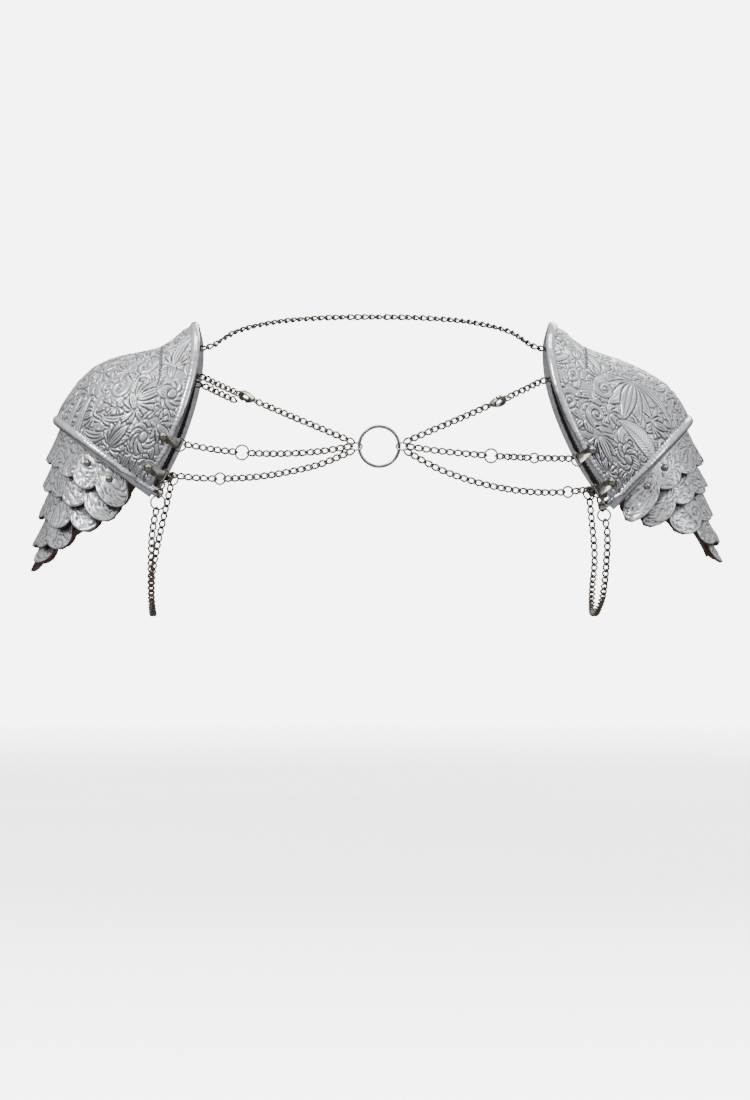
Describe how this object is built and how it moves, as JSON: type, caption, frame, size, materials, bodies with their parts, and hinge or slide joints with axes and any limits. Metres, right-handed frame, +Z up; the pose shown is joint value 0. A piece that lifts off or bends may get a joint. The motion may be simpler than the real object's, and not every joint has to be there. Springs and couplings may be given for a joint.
{
  "type": "pair of shoulder pauldrons on a chain harness",
  "caption": "Embossed silver leather shoulder caps with layered scale wings, joined by curb chains to a big chest ring.",
  "frame": {"origin": "midway between the shoulders, at the height where the caps sit on them", "axes": "+X to the right as seen from the front, +Z up, and the front faces -Y"},
  "size_m": [0.4889, 0.1705, 0.2229],
  "materials": {
    "silver_leather": "metallic foil, tooled",
    "mirror_leather": "bright metallic foil",
    "dark_leather": "dyed, matt",
    "warm_nickel": "aged nickel plate",
    "dark_nickel": "dark nickel plate"
  },
  "bodies": {
    "root": {"centre_ring": "warm_nickel", "cap_left": "silver_leather", "collar_binding_left": "mirror_leather", "hem_binding_left": "mirror_leather", "wing_backing_left": "dark_leather", "scale_row_left_1": "silver_leather", "scale_row_left_2": "silver_leather", "scale_row_left_3": "silver_leather", "scale_row_left_4": "silver_leather", "scale_row_left_5": "silver_leather", "ring_clip_left_middle": "dark_nickel", "edge_ring_left_middle": "warm_nickel", "ring_clip_left_lower": "dark_nickel", "edge_ring_left_lower": "warm_nickel", "ring_clip_left_back": "dark_nickel", "edge_ring_left_back": "warm_nickel", "collar_hook_left_front": "dark_nickel", "collar_hook_left_back": "dark_nickel", "wing_rivet_left_1": "dark_nickel", "wing_rivet_left_2": "dark_nickel", "joining_ring_left": "warm_nickel", "chain_left_middle": "warm_nickel", "chain_left_lower": "warm_nickel", "chain_left_under_arm": "warm_nickel", "chain_left_upper": "warm_nickel", "chain_left_collar": "warm_nickel", "clasp_body_left": "warm_nickel", "cap_right": "silver_leather", "collar_binding_right": "mirror_leather", "hem_binding_right": "mirror_leather", "wing_backing_right": "dark_leather", "scale_row_right_1": "silver_leather", "scale_row_right_2": "silver_leather", "scale_row_right_3": "silver_leather", "scale_row_right_4": "silver_leather", "scale_row_right_5": "silver_leather", "ring_clip_right_middle": "dark_nickel", "edge_ring_right_middle": "warm_nickel", "ring_clip_right_lower": "dark_nickel", "edge_ring_right_lower": "warm_nickel", "ring_clip_right_back": "dark_nickel", "edge_ring_right_back": "warm_nickel", "collar_hook_right_front": "dark_nickel", "collar_hook_right_back": "dark_nickel", "wing_rivet_right_1": "dark_nickel", "wing_rivet_right_2": "dark_nickel", "joining_ring_right": "warm_nickel", "chain_right_middle": "warm_nickel", "chain_right_lower": "warm_nickel", "chain_right_under_arm": "warm_nickel", "chain_right_upper": "warm_nickel", "chain_right_collar": "warm_nickel", "clasp_body_right": "warm_nickel", "chain_left_tail": "warm_nickel", "chain_back": "warm_nickel"},
    "lever_left": {"clasp_lever_left": "warm_nickel"},
    "lever_right": {"clasp_lever_right": "warm_nickel"}
  },
  "joints": [
    {"name": "clasp_left", "type": "hinge", "parent": "root", "child": "lever_left", "pos_m": [-0.08687, -0.06006, -0.03408], "axis": [0.6103, 0.7088, 0.3538], "range_deg": [0, 25], "stiffness_Nm_per_rad": 0.0005},
    {"name": "clasp_right", "type": "hinge", "parent": "root", "child": "lever_right", "pos_m": [0.0857, -0.06429, -0.03497], "axis": [-0.6232, 0.7022, 0.3442], "range_deg": [0, 25], "stiffness_Nm_per_rad": 0.0005}
  ]
}
